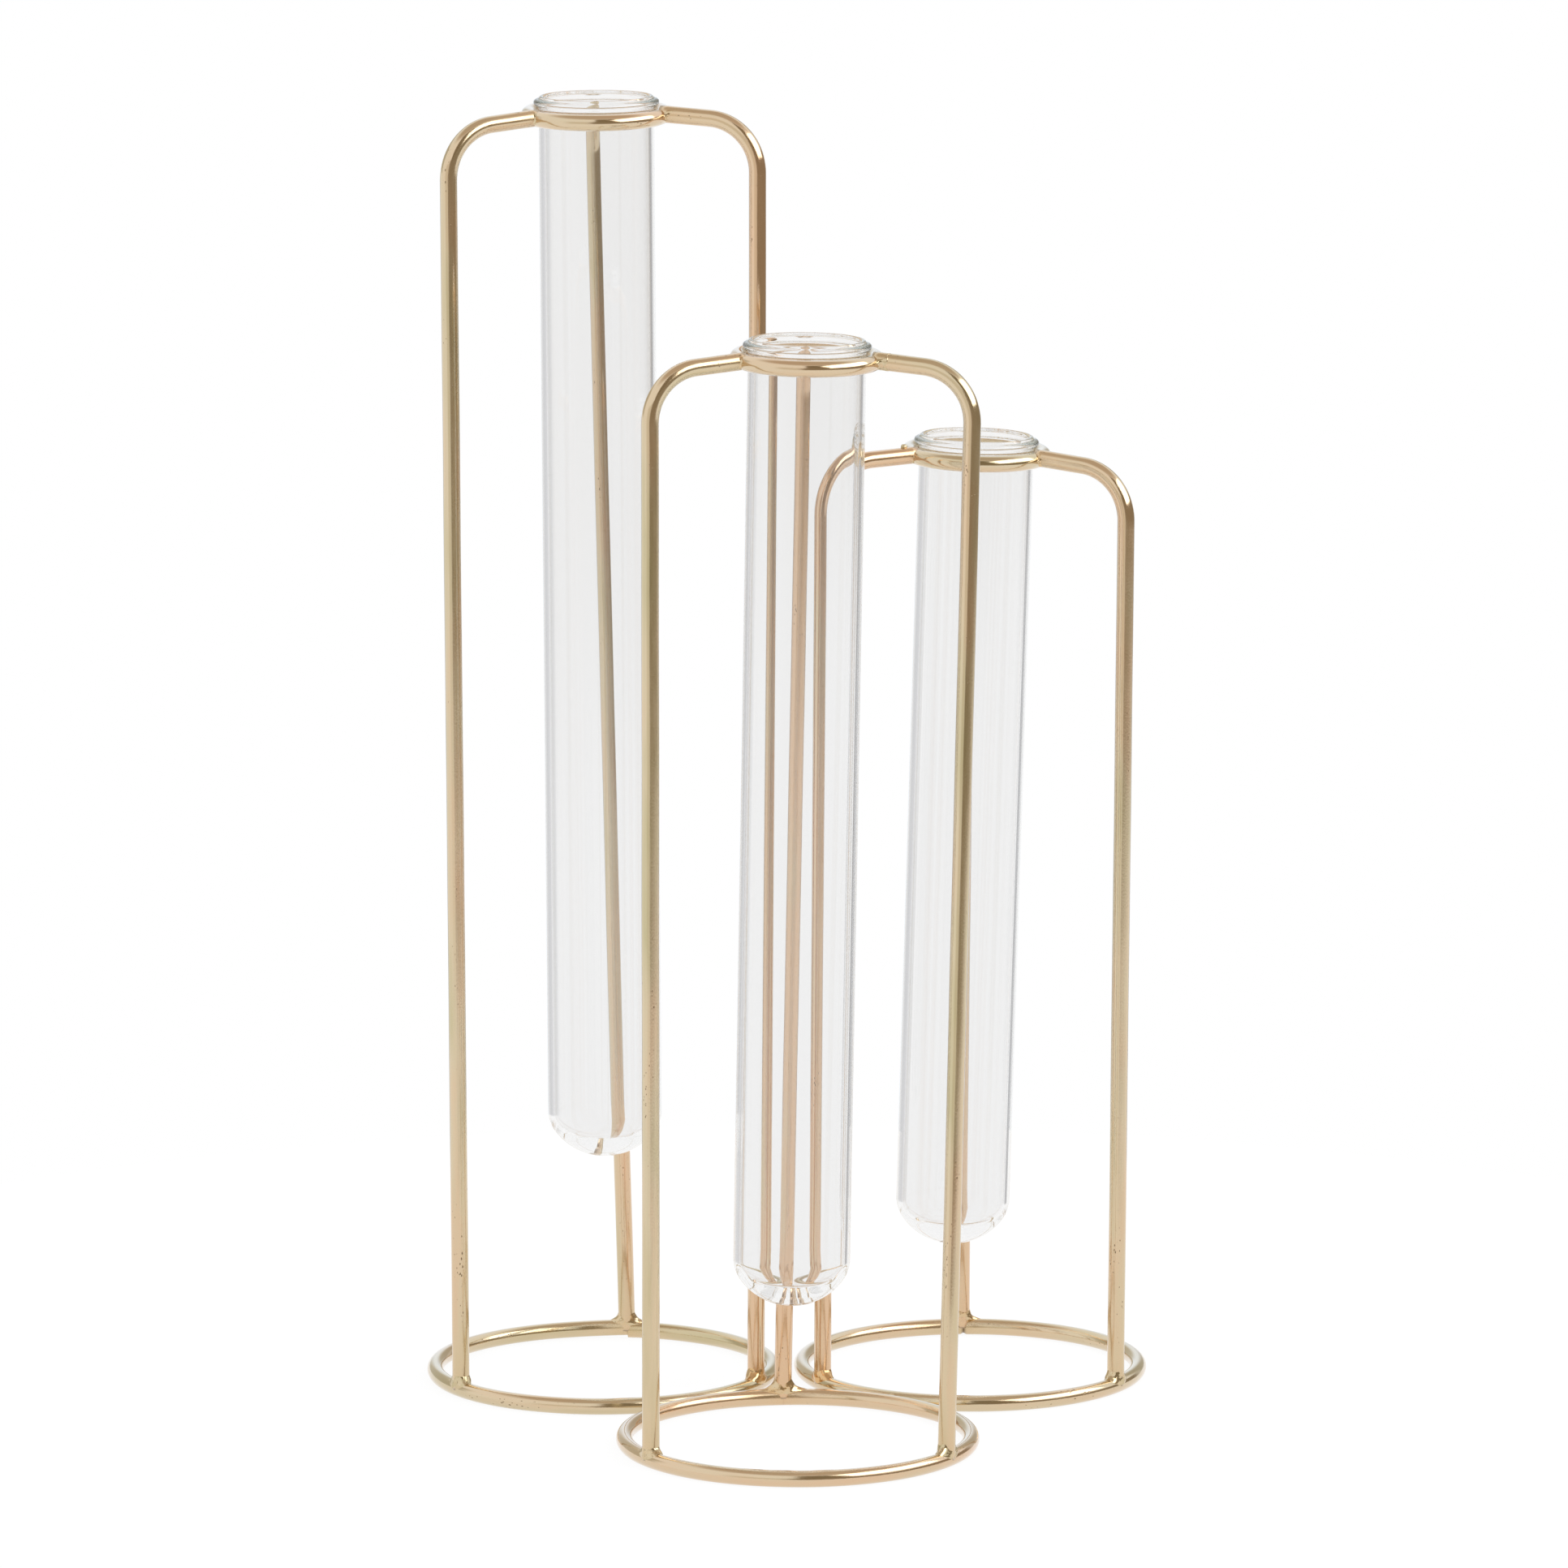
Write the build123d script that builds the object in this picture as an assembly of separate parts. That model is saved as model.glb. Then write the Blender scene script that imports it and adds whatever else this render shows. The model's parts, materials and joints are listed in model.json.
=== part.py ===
from build123d import *
import os
from dataclasses import dataclass
from math import atan2, cos, degrees, radians, sin, sqrt

# A vase of three welded wire stands, brazed together at their base rings, each with a glass test tube
# that hangs by its beaded lip in a small wire collar. Millimetres and degrees. The origin is on the
# floor, midway between the front of the front ring and the welds at the backs of the two back rings.
# +Z is up, +Y points to the back and +X to the right.

# Wire, base rings and their places
WIRE_D = 3.6
RING_OD = 78.0
BACK_RING_GAP = 3.1      # clear gap between the two back rings
BRAZE_GAP = 0.1          # film of braze between the front ring and each back ring

# Heights of the three stands, and how far each collar is off its ring's centre and leans
TALL_COLLAR_Z = 279.65   # middle of a collar above the floor
MIDDLE_COLLAR_Z = 234.8
SHORT_COLLAR_Z = 205.3
TALL_SHIFT = -0.7        # towards +X
MIDDLE_SHIFT = 1.9
SHORT_SHIFT = 0.7
TALL_LEAN = -0.3         # tilt of a collar and its tube, top towards +X
MIDDLE_LEAN = 0.95
SHORT_LEAN = 1.6
COLLAR_PITCH = 1.5       # tilt of each collar alone, its front down

# Legs, each one wire with a round bend and a short arm
KNEE_INSET = 0.7         # corner of the bend inside the ring's wire line
BEND_R = 11.5            # round bend, on the wire's centre line
WELD_SINK = 0.5          # how deep a wire's end sits in the ring or collar that it is welded to

# Welds
WELD_FLARE = 0.8         # how far a weld stands out from its wire
WELD_RISE = 2.4          # how far it climbs along the wire, from the ring's skin
WELD_SKIRT = 1.1         # how far it hangs down round the ring, from the ring's skin
WELD_LIP = 0.15          # thickness of its thin end
BRAZE_D = 2.8            # bead between two rings
BRAZE_LENGTH = 11.0
BRAZE_END_R = 1.0        # rounding of the bead's ends
BRAZE_SEAT = 1.7         # middle of the bead above the rings' wire line

# Glass tubes
TALL_TUBE_LENGTH = 234.0
MIDDLE_TUBE_LENGTH = 208.0
SHORT_TUBE_LENGTH = 180.0
TUBE_OD = 25.0
TUBE_WALL = 1.2
BEAD_D = 1.65            # round bead of the lip
BEAD_SINK = 0.4          # how deep the bead is sunk in the wall
RIM_NECK = 0.15          # plain wall between the bead and the round of the rim
DOME_HEIGHT = 10.2       # round bottom, a little flatter than a half ball
CROWN_SAG = 2.2          # how far the bottom's shallow crown hangs below its rounded edge
BOTTOM_WALL = 2.4        # thick glass at the lowest point
COLLAR_CLEARANCE = 0.3   # between the tube and its collar, all round
LIP_GAP = 0.25           # between the lip's bead and the collar that carries it

# Worked out from the values above
WIRE_R = WIRE_D / 2
RING_R = (RING_OD - WIRE_D) / 2
KNEE_R = RING_R - KNEE_INSET
TUBE_R = TUBE_OD / 2
BORE_R = TUBE_R - TUBE_WALL
BEAD_R = BEAD_D / 2
BEAD_LINE_R = TUBE_R - BEAD_SINK + BEAD_R
COLLAR_R = TUBE_R + COLLAR_CLEARANCE + WIRE_R
COLLAR_BACK_R = COLLAR_R * cos(radians(COLLAR_PITCH))
COLLAR_BACK_Z = COLLAR_R * sin(radians(COLLAR_PITCH))
LIP_HEIGHT = COLLAR_BACK_Z + sqrt((WIRE_R + BEAD_R + LIP_GAP) ** 2 - (COLLAR_BACK_R - BEAD_LINE_R) ** 2)
BEAD_HALF = sqrt(BEAD_R**2 - (TUBE_R - BEAD_LINE_R) ** 2)
RIM_EDGE = LIP_HEIGHT + BEAD_HALF + RIM_NECK
RIM_TOP = RIM_EDGE + TUBE_WALL / 2
BACK_RING_X = (RING_OD + BACK_RING_GAP) / 2
RING_SPACING_Y = sqrt((RING_OD + BRAZE_GAP) ** 2 - BACK_RING_X**2)
FRONT_RING_Y = -(RING_SPACING_Y + WELD_FLARE) / 2
BACK_RING_Y = FRONT_RING_Y + RING_SPACING_Y
SIDES = ("left", "right", "back")
ON_ITS_BASE = (Align.CENTER, Align.CENTER, Align.MIN)


@dataclass
class Stand:
    """One wire stand: where it is and how its hand-set legs turn and lean."""

    name: str
    ring_x: float
    ring_y: float
    collar_z: float
    collar_shift: float
    lean: float
    tube_length: float
    foot_turns: tuple    # left, right and back foot round the ring, from +X
    arm_turns: tuple     # left, right and back arm round the collar
    arm_rises: tuple     # from the corner of each arm's bend up to the collar

    def ring_frame(self):
        return Location((self.ring_x, self.ring_y, WIRE_R))

    def tube_frame(self):
        middle = (self.ring_x + self.collar_shift, self.ring_y, self.collar_z)
        return Location(middle, (0, self.lean, 0))

    def collar_frame(self):
        return self.tube_frame() * Location((0, 0, 0), (COLLAR_PITCH, 0, 0))


TALL = Stand(
    "tall", -BACK_RING_X, BACK_RING_Y, TALL_COLLAR_Z, TALL_SHIFT, TALL_LEAN, TALL_TUBE_LENGTH,
    foot_turns=(212, 333, 81), arm_turns=(208.5, 341, 91), arm_rises=(1.5, 0.9, 0.9),
)
MIDDLE = Stand(
    "middle", 0, FRONT_RING_Y, MIDDLE_COLLAR_Z, MIDDLE_SHIFT, MIDDLE_LEAN, MIDDLE_TUBE_LENGTH,
    foot_turns=(211, 326, 93), arm_turns=(204, 340.5, 89), arm_rises=(1.7, 1.1, 0.7),
)
SHORT = Stand(
    "short", BACK_RING_X, BACK_RING_Y, SHORT_COLLAR_Z, SHORT_SHIFT, SHORT_LEAN, SHORT_TUBE_LENGTH,
    foot_turns=(206.5, 326, 90), arm_turns=(204, 330, 90), arm_rises=(1.2, 1.0, 0.9),
)
STANDS = (TALL, MIDDLE, SHORT)


def round_point(frame, radius, turn, height=0.0):
    """A point in a frame, given by its radius, its turn from the frame's X and its height."""
    local = Vector(radius * cos(radians(turn)), radius * sin(radians(turn)), height)
    return (frame * Pos(local)).position


def base_ring(stand):
    return stand.ring_frame() * Torus(RING_R, WIRE_R)


def collar(stand):
    return stand.collar_frame() * Torus(COLLAR_R, WIRE_R)


def leg_line(stand, side):
    """The wire's line from ring to collar, sunk a little into both, round at the bend."""
    index = SIDES.index(side)
    ring_seat = round_point(stand.ring_frame(), RING_R, stand.foot_turns[index])
    collar_seat = round_point(stand.tube_frame(), COLLAR_R, stand.arm_turns[index])
    knee = round_point(stand.tube_frame(), KNEE_R, stand.arm_turns[index], -stand.arm_rises[index])
    foot = ring_seat + (knee - ring_seat).normalized() * (WIRE_R - WELD_SINK)
    tip = collar_seat + (knee - collar_seat).normalized() * (WIRE_R - WELD_SINK)
    return FilletPolyline(foot, knee, tip, radius=BEND_R)


def leg(stand, side):
    line = leg_line(stand, side)
    section = Plane(origin=line @ 0, z_dir=line % 0) * Circle(WIRE_R)
    return sweep(section, path=line) - base_ring(stand) - collar(stand)


def weld(end, along):
    """A flared collar of weld round a wire's end, which points along the wire away from the ring."""
    base = end - along * (WELD_SKIRT - WELD_SINK)
    height = WELD_SKIRT + WELD_RISE
    flare = Cone(WIRE_R + WELD_FLARE, WIRE_R + WELD_LIP, height, align=ON_ITS_BASE)
    return Plane(origin=base, z_dir=along).location * flare


def foot_welds(stand):
    welds = []
    for side in SIDES:
        line = leg_line(stand, side)
        welds.append(weld(line @ 0, line % 0) - leg(stand, side) - base_ring(stand))
    return Compound(welds)


def collar_welds(stand):
    welds = []
    for side in SIDES:
        line = leg_line(stand, side)
        welds.append(weld(line @ 1, -(line % 1)) - leg(stand, side) - collar(stand))
    return Compound(welds)


def ring_braze(front, back):
    """A bead laid in the groove on top of two rings, where they come closest."""
    front_middle = front.ring_frame().position
    back_middle = back.ring_frame().position
    middle = (front_middle + back_middle) / 2 + Vector(0, 0, BRAZE_SEAT)
    across = (back_middle - front_middle).normalized()
    bead = Cylinder(BRAZE_D / 2, BRAZE_LENGTH)
    bead = fillet(bead.edges().filter_by(GeomType.CIRCLE), BRAZE_END_R)
    groove = Plane(origin=middle, z_dir=across.cross(Vector(0, 0, 1)))
    return groove.location * bead - base_ring(front) - base_ring(back)


def dome(radius, height, top):
    """Two tangent arcs from the axis out to a wall: a shallow crown, then a rounded edge."""
    edge_r = height - CROWN_SAG
    edge_x = radius - edge_r
    crown_rise = (edge_x**2 - CROWN_SAG**2) / (2 * CROWN_SAG)
    meet = degrees(atan2(edge_x, crown_rise))
    crown = CenterArc((0, top + crown_rise), height + crown_rise, 270, meet)
    edge = CenterArc((edge_x, top), edge_r, 270 + meet, 90 - meet)
    return [crown, edge]


def tube(stand):
    """Glass tube turned about its own axis, with the collar's middle at height 0."""
    bottom = RIM_TOP - stand.tube_length
    dome_top = bottom + DOME_HEIGHT
    bead_foot = LIP_HEIGHT - BEAD_HALF
    bead_head = LIP_HEIGHT + BEAD_HALF
    outer_dome = dome(TUBE_R, DOME_HEIGHT, dome_top)
    outer_wall = Line((TUBE_R, dome_top), (TUBE_R, bead_foot))
    bead = ThreePointArc((TUBE_R, bead_foot), (BEAD_LINE_R + BEAD_R, LIP_HEIGHT), (TUBE_R, bead_head))
    neck = Line((TUBE_R, bead_head), (TUBE_R, RIM_EDGE))
    rim = ThreePointArc((TUBE_R, RIM_EDGE), (TUBE_R - TUBE_WALL / 2, RIM_TOP), (BORE_R, RIM_EDGE))
    bore = Line((BORE_R, RIM_EDGE), (BORE_R, dome_top))
    inner_dome = dome(BORE_R, DOME_HEIGHT - BOTTOM_WALL, dome_top)
    middle = Line((0, bottom + BOTTOM_WALL), (0, bottom))
    outline = make_face(outer_dome + [outer_wall, bead, neck, rim, bore] + inner_dome + [middle])
    return stand.tube_frame() * revolve(Plane.XZ * outline, Axis.Z)


def all_parts():
    """Every piece by name."""
    parts = {}
    for stand in STANDS:
        parts[f"{stand.name}_base_ring"] = base_ring(stand)
        parts[f"{stand.name}_collar"] = collar(stand)
        parts[f"{stand.name}_tube"] = tube(stand)
        for side in SIDES:
            parts[f"{stand.name}_{side}_leg"] = leg(stand, side)
        parts[f"{stand.name}_foot_welds"] = foot_welds(stand)
        parts[f"{stand.name}_collar_welds"] = collar_welds(stand)
    for back in (TALL, SHORT):
        parts[f"{back.name}_ring_braze"] = ring_braze(MIDDLE, back)
    return parts


os.makedirs("parts", exist_ok=True)
for name, shape in all_parts().items():
    export_step(shape, f"parts/{name}.step")
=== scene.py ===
import json
import math
from dataclasses import dataclass

import bpy
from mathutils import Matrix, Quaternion, Vector, noise


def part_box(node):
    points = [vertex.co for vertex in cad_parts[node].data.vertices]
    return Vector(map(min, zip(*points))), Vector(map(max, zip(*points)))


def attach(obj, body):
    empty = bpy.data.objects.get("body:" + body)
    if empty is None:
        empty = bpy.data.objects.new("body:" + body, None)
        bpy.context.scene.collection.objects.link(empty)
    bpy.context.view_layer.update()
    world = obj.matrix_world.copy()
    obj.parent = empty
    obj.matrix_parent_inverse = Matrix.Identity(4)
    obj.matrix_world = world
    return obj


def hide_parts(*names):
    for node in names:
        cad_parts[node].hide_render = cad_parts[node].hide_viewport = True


# Looks of a vase of three welded wire stands with a glass test tube in each. Lengths are metres, in the
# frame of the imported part: +Z is up, +Y points to the back and +X to the right.

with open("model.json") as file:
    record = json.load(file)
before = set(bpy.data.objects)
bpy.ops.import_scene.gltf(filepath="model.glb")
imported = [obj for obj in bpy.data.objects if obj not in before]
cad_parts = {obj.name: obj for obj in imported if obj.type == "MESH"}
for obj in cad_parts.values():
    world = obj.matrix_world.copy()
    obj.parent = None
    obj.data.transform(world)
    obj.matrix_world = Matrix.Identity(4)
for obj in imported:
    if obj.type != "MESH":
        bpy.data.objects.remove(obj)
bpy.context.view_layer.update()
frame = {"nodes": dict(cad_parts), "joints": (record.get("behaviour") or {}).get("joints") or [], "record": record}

MM = 0.001
UP = Vector((0, 0, 1))
TO_BACK = Vector((0, 1, 0))
STANDS = ("tall", "middle", "short")
SIDES = ("left", "right", "back")

# Camera at the photograph's viewing angle, with a long lens
CAMERA_PLACE = (-72.2 * MM, -2053.2 * MM, 493.2 * MM)
CAMERA_DOWN = 9.805      # degrees below the horizon
CAMERA_RIGHT = 1.964     # degrees to the right of +Y
CAMERA_LENS = 222.09
CAMERA_SENSOR = 36.0
CAMERA_NEAR = 0.05
CAMERA_FAR = 50.0

# Each stand's legs, as left, right and back: where they meet the base ring and the collar, in
# degrees from +X, how far each arm rises to the collar and how high it sits on the collar's wire, in mm
FOOT_TURNS = {"tall": (212, 333, 81), "middle": (211, 326, 93), "short": (206.5, 326, 90)}
ARM_TURNS = {"tall": (208.5, 341, 91), "middle": (204, 340.5, 89), "short": (204, 330, 90)}
ARM_RISES = {"tall": (1.5, 0.9, 0.9), "middle": (1.7, 1.1, 0.7), "short": (1.2, 1.0, 0.9)}
ARM_SEATS = {"tall": (0.1, 0.5, 0.0), "middle": (0.1, 0.45, 0.0), "short": (0.2, 0.35, 0.0)}
KNEE_INSET = 0.7 * MM    # corner of a leg's bend inside the ring's wire line
BEND_R = 11.5 * MM       # round bend, on the wire's line
COLLAR_PITCH = 1.5       # degrees that each collar tips forward

# Mesh steps of the wires, how uneven drawn and hand-bent wire is, and how much fuller the legs' wire looks
WIRE_SIDES = 28
WIRE_STEP = 1.6 * MM
WIRE_WOBBLE = 0.05 * MM
WOBBLE_LENGTH = 26 * MM
WOBBLE_LAYER = 3.0       # place of the wobble in the noise
LEG_SWELL = 0.08 * MM
HEAT_REACH = 7 * MM      # how far along a wire the heat of its welds shows

# Seeds, which give each wire and each weld its own share of the noise
SEEDS_PER_STAND = 10
COLLAR_SEED = 1          # after the ring's, within a stand
FIRST_LEG_SEED = 2
FIRST_COLLAR_WELD_SEED = 100
SEED_SHIFT = 0.037       # metres along the pattern from one wire to the next

# Where each base ring's ends meet under its back foot, how much higher the first end stands, their gap, and
# the depth of the groove round the place where they meet
SEAM_TURNS = {"tall": 80.5, "middle": 93.0, "short": 89.3}
SEAM_STEPS = {"tall": 0.55 * MM, "middle": 0.0, "short": 0.0}
SEAM_GAPS = {"tall": 0.12 * MM, "middle": 0.0, "short": 0.0}
# a ring with a groove also gets painted shade in it, darkening the wire's colour there
SEAM_GROOVES = {"tall": 0.0, "middle": 0.0, "short": 0.35 * MM}
GROOVE_WIDTH = 0.45 * MM
GROOVE_STEP = 0.12 * MM
GROOVE_ROWS = 8
SEAM_FADE = 9 * MM

# Tint of each wire, from 0 for olive gold to 1 for peach gold: legs as left, right and back
LEG_TINTS = {"tall": (0.5, 0.72, 0.55), "middle": (0.42, 0.45, 0.82), "short": (0.8, 0.55, 0.72)}
RING_TINTS = {"tall": 0.45, "middle": 0.6, "short": 0.55}
COLLAR_TINTS = {"tall": 0.62, "middle": 0.6, "short": 0.5}

# Welds, for legs as left, right and back, in mm. A rise is measured along the leg from the ring's wire
# line, a reach along the ring from the leg's line, and a lip is the step at the weld's end on the wire. A
# roll is how far round the ring's flanks a weld runs, in radians. A warmth goes from 0 for olive gold to 1
# for warm gold.
WELD_AROUND = 44
WELD_ALONG = 14
WELD_SINK = 0.05 * MM
FOOT_WELD_RISES = {"tall": (3.6, 4.2, 4.6), "middle": (3.6, 3.9, 4.6), "short": (3.8, 3.7, 4.8)}
FOOT_WELD_REACHES = {"tall": (4.2, 5.2, 5.4), "middle": (4.4, 4.4, 6.0), "short": (4.8, 4.4, 5.2)}
FOOT_WELD_ROLLS = {"tall": (1.45, 1.45, 0.8), "middle": (1.45, 1.45, 1.0), "short": (1.45, 1.45, 0.3)}
FOOT_WELD_WARMTHS = {"tall": (0.25, 0.75, 0.45), "middle": (0.35, 0.3, 0.6), "short": (0.85, 0.4, 0.6)}
FOOT_WELD_LIP = 0.0
FOOT_WELD_BULGE = 0.2
COLLAR_WELD_RISES = {"tall": (2.3, 3.3, 2.6), "middle": (2.3, 3.4, 2.6), "short": (2.5, 2.5, 2.6)}
COLLAR_WELD_LIPS = {"tall": (0.0, 0.12, 0.0), "middle": (0.0, 0.18, 0.0), "short": (0.0, 0.0, 0.0)}
COLLAR_WELD_WARMTHS = {"tall": (0.4, 0.5, 0.5), "middle": (0.55, 0.35, 0.5), "short": (0.5, 0.65, 0.5)}
COLLAR_WELD_REACH = 2.5
COLLAR_WELD_ROLL = 1.2
COLLAR_WELD_BULGE = -0.05
WELD_LUMPS = 0.3 * MM
WELD_LUMP_SIZE = 1.5 * MM
WELD_LUMP_LEAN = 0.5     # how far the lumps above the ring lean up the wire
WELD_WAVES = 1.3         # how quickly a weld's edge wanders round its wire
RISE_WANDER = 0.12       # share of the rise
REACH_WANDER = 0.2       # share of the reach

# Drop of weld metal on the short stand's left arm: its size, its place along the arm and its lumps
DROPLET_R = 0.65 * MM
DROPLET_PLACE = 3.1 * MM
DROPLET_LIFT = DROPLET_R / 3
DROPLET_LUMPS = 0.3      # share of its radius
DROPLET_WAVES = 1.2
DROPLET_WARMTH = 0.3

# Braze in the groove between two rings: half its length, the hollow of its top and its lumps
BRAZE_ROWS = 48
BRAZE_ARC = 12
BRAZE_HALF = 8.5 * MM
BRAZE_HOLLOW = 0.9 * MM
BRAZE_SPREAD = 1.3       # how much the hollow grows where the rings part
BRAZE_LUMPS = {"tall": (), "short": (-4.8 * MM, 1.6 * MM, 6.3 * MM)}
BRAZE_LUMP_HEIGHT = 0.55 * MM
BRAZE_LUMP_LENGTH = 1.1 * MM
BRAZE_WARMTH = 0.6

# Glass tubes: the wall, the bead of the lip, the round bottom and their mesh steps
TUBE_WALL = 1.2 * MM
BEAD_R = 0.825 * MM
BEAD_SINK = 0.4 * MM
RIM_NECK = 0.15 * MM     # plain wall between the bead and the rim
DOME_HEIGHT = 10.2 * MM
CROWN_SAG = 2.2 * MM     # how far the bottom hangs below its rounded edge
BOTTOM_WALL = 2.4 * MM
TUBE_SIDES = 128
WALL_STEPS = 60
BEAD_STEPS = 24
LIP_STEP = 0.14 * MM
LIP_END_STEPS = 14
LIP_PASSES = 20          # of easing over the lip's corners
DOME_STEPS = 14

# Studio. A patch of its walls has limits of turn, in degrees to the right of the camera's side, limits of
# rise, as the sine of the height above the horizon, each with the softness of its edges, and a colour. The
# patch behind the object takes its turn to either side. The room in glass is what the wires behind a tube
# mirror through it.
WHITE = (1.0, 1.0, 1.0, 1.0)
RIGHT_FLAG = ((139, 152, 2), (-0.28, -0.06, 0.03), (0.38, 0.38, 0.39, 1.0))
LEFT_FLAG = ((-168, -139, 5), (-0.28, -0.06, 0.03), (0.66, 0.66, 0.67, 1.0))
ROOM_IN_GLASS = ((-10, 140, 8), (-0.158, -0.07, 0.022), (0.62, 0.58, 0.53, 1.0))
DIM_ROOM = ((-10, 140, 8), (-0.158, 0.3, 0.022), (0.32, 0.265, 0.195, 1.0))
DARK_FRONT = ((-3, 34, 3), (0.25, 0.8, 0.05), (0.27, 0.22, 0.15, 1.0))
DIM_LEFT = ((-46, -10, 10), (-0.158, 0.3, 0.022), (0.8, 0.77, 0.7, 1.0))
BACK_LEFT = ((-170, -105, 8), (0.03, 0.5, 0.04), (0.6, 0.57, 0.48, 1.0))
BACK_RIGHT = ((142, 170, 8), (0.03, 0.5, 0.04), (0.5, 0.46, 0.37, 1.0))
BEHIND = ((168, 181, 4), (-0.3, 0.5, 0.05), (0.92, 0.98, 1.04, 1.0))
CEILING = ((-181, 181, 0.5), (0.82, 2.0, 0.1), (0.6, 0.51, 0.42, 1.0))
SOFTBOX_PLACE = (0.86, -0.36, 0.86)
SOFTBOX_SIZE = (1.5, 0.7)
SOFTBOX_GLOW = 2.0
LAMP_AIM = (0.0, 0.0, 0.12)
FLOOR_R = 0.3
FLOOR_SIDES = 96
FLOOR_SHADOW = (0.08, 0.08, 0.08, 1.0)    # share of the floor's white that needs light, so shadows show
FLOOR_GLOW = 0.93
FLOOR_IN_METAL = (0.95, 0.92, 0.89, 1.0)
LIGHT_BOUNCES = 1024


def srgb(red, green, blue):
    """A colour written as sRGB from 0 to 255, as the linear values that shaders take."""
    shares = [value / 255 for value in (red, green, blue)]
    linear = [s / 12.92 if s <= 0.04045 else ((s + 0.055) / 1.055) ** 2.4 for s in shares]
    return (*linear, 1.0)


# The part's own measures, read from the frame


class Loop:
    """A ring of wire: its middle, its own axes and the radius of its wire line."""

    def __init__(self, node, axis):
        low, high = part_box(node)
        self.centre = (low + high) / 2
        self.axis = axis.normalized()
        self.across = TO_BACK.cross(self.axis).normalized()
        self.ahead = self.axis.cross(self.across)
        self.radius = (high.y - low.y) / 2 - WIRE_R

    def outward(self, turn):
        angle = math.radians(turn)
        return self.across * math.cos(angle) + self.ahead * math.sin(angle)

    def point(self, turn, radius=None, rise=0.0):
        reach = self.radius if radius is None else radius
        return self.centre + self.outward(turn) * reach + self.axis * rise


def wire_radius():
    low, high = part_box("middle_base_ring")
    return (high.z - low.z) / 2


def tube_axis(stand):
    joint = next(j for j in frame["joints"] if j["child"] == f"{stand}_tube")
    return Vector(joint["axis"]).normalized()


def bore_radius(stand):
    mount = next(m for m in frame["record"]["mounts"] if m["name"] == f"{stand}_tube_bore")
    return mount["dims"]["r_mm"] * MM


def pitched(axis):
    """A collar's axis: its tube's axis with the top tipped forward."""
    across = TO_BACK.cross(axis).normalized()
    return Quaternion(across, math.radians(COLLAR_PITCH)) @ axis


WIRE_R = wire_radius()
RINGS = {stand: Loop(f"{stand}_base_ring", UP) for stand in STANDS}
COLLARS = {stand: Loop(f"{stand}_collar", pitched(tube_axis(stand))) for stand in STANDS}
TUBES = {stand: Loop(f"{stand}_collar", tube_axis(stand)) for stand in STANDS}


# Meshes


def new_piece(name, points, faces, material):
    mesh = bpy.data.meshes.new(name)
    mesh.from_pydata([tuple(p) for p in points], [], faces)
    mesh.polygons.foreach_set("use_smooth", [True] * len(mesh.polygons))
    mesh.materials.append(material)
    piece = bpy.data.objects.new(name, mesh)
    bpy.context.scene.collection.objects.link(piece)
    return piece


def dress(piece, body, slot, *nodes):
    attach(piece, body)
    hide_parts(*nodes)


def point_attribute(piece, name, kind, values):
    field = "vector" if kind == "FLOAT_VECTOR" else "value"
    attribute = piece.data.attributes.new(name, kind, "POINT")
    flat = [x for value in values for x in value] if kind == "FLOAT_VECTOR" else values
    attribute.data.foreach_set(field, flat)


def grid_faces(rows, columns):
    """Quads between rows of points that each close on themselves."""
    faces = []
    for row in range(rows - 1):
        for column in range(columns):
            ahead = (column + 1) % columns
            here, above = row * columns, (row + 1) * columns
            faces.append((here + column, here + ahead, above + ahead, above + column))
    return faces


def end_fans(rows, columns, first_hub, last_hub):
    """Triangles that close the first and the last row on a point each."""
    last = (rows - 1) * columns
    faces = [(first_hub, (c + 1) % columns, c) for c in range(columns)]
    faces += [(last_hub, last + c, last + (c + 1) % columns) for c in range(columns)]
    return faces


def spread_points(start, end, step):
    count = max(2, math.ceil((end - start).length / step))
    return [start.lerp(end, i / count) for i in range(count)]


def arm_seat(stand, index):
    return TUBES[stand].point(ARM_TURNS[stand][index], rise=ARM_SEATS[stand][index] * MM)


def leg_line(stand, side):
    """Points along a leg's wire: up from its foot, round the bend and in along its arm."""
    index = SIDES.index(side)
    ring = RINGS[stand]
    foot_seat = ring.point(FOOT_TURNS[stand][index])
    collar_seat = arm_seat(stand, index)
    knee_rise = -ARM_RISES[stand][index] * MM
    knee = TUBES[stand].point(ARM_TURNS[stand][index], ring.radius - KNEE_INSET, knee_rise)
    up = (knee - foot_seat).normalized()
    inward = (collar_seat - knee).normalized()
    turn = up.angle(inward)
    set_back = BEND_R * math.tan(turn / 2)
    bend_start, bend_end = knee - up * set_back, knee + inward * set_back
    middle = bend_start + (inward - up * up.dot(inward)).normalized() * BEND_R
    arm = bend_start - middle
    points = spread_points(foot_seat, bend_start, WIRE_STEP)
    steps = math.ceil(BEND_R * turn / (WIRE_STEP / 2))
    for i in range(steps):
        angle = turn * i / steps
        points.append(middle + arm * math.cos(angle) + up * BEND_R * math.sin(angle))
    points += spread_points(bend_end, collar_seat, WIRE_STEP)
    points.append(collar_seat)
    return points


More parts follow.
